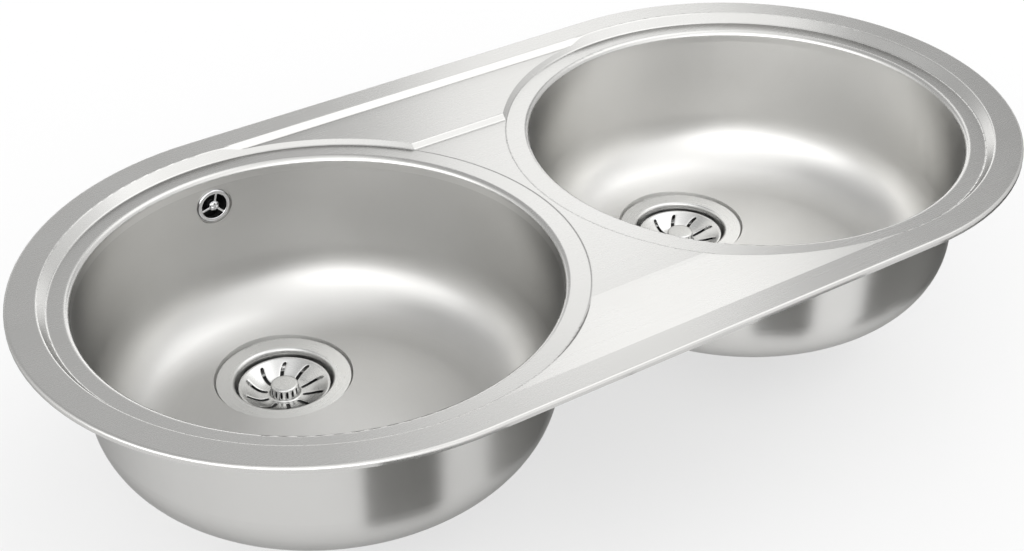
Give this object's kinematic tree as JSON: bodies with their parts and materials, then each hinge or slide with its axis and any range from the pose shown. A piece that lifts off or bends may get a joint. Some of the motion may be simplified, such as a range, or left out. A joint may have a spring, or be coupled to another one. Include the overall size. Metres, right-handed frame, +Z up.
{
  "type": "kitchen sink",
  "caption": "Inset stainless steel kitchen sink with round bowls side by side, a stepped stadium-shaped rim, a tap platform, basket strainer wastes and an overflow.",
  "frame": {"origin": "centre of the worktop cut-out, on the worktop surface that the folded edge of the rim rests on", "axes": "+X along the sink from the left bowl to the right one, +Y to the back, where the tap platform is, +Z up out of the bowls"},
  "size_m": [0.866, 0.46, 0.2148],
  "materials": {
    "rim_steel": "satin",
    "bowl_steel": "satin",
    "lug_steel": "plain",
    "waste_steel": "polished",
    "basket_steel": "polished",
    "screw_steel": "polished",
    "overflow_chrome": "polished",
    "brass_insert": "satin",
    "black_plastic": "matte",
    "stem_plastic": "matte",
    "black_rubber": "matte",
    "foam_seal": "matte",
    "damping_pad": "matte"
  },
  "bodies": {
    "sink": {"deck": "rim_steel", "rim_seal": "foam_seal", "clip_lugs": "lug_steel", "left_bowl": "bowl_steel", "right_bowl": "bowl_steel", "overflow_rosette": "overflow_chrome", "overflow_screw": "overflow_chrome", "overflow_gasket": "black_rubber", "overflow_elbow": "black_plastic", "left_sound_pad": "damping_pad", "left_waste_flange": "waste_steel", "left_flange_gasket": "black_rubber", "left_body_gasket": "black_rubber", "left_waste_body": "black_plastic", "left_waste_screw": "screw_steel", "left_waste_insert": "brass_insert", "right_sound_pad": "damping_pad", "right_waste_flange": "waste_steel", "right_flange_gasket": "black_rubber", "right_body_gasket": "black_rubber", "right_waste_body": "black_plastic", "right_waste_screw": "screw_steel", "right_waste_insert": "brass_insert"},
    "left_strainer": {"left_basket": "basket_steel", "left_basket_seal": "black_rubber", "left_basket_stem": "stem_plastic"},
    "right_strainer": {"right_basket": "basket_steel", "right_basket_seal": "black_rubber", "right_basket_stem": "stem_plastic"}
  },
  "joints": [
    {"name": "left_strainer_lift", "type": "slide", "parent": "sink", "child": "left_strainer", "axis": [0, 0, 1], "range_m": [0, 0.2]},
    {"name": "right_strainer_lift", "type": "slide", "parent": "sink", "child": "right_strainer", "axis": [0, 0, 1], "range_m": [0, 0.2]}
  ]
}
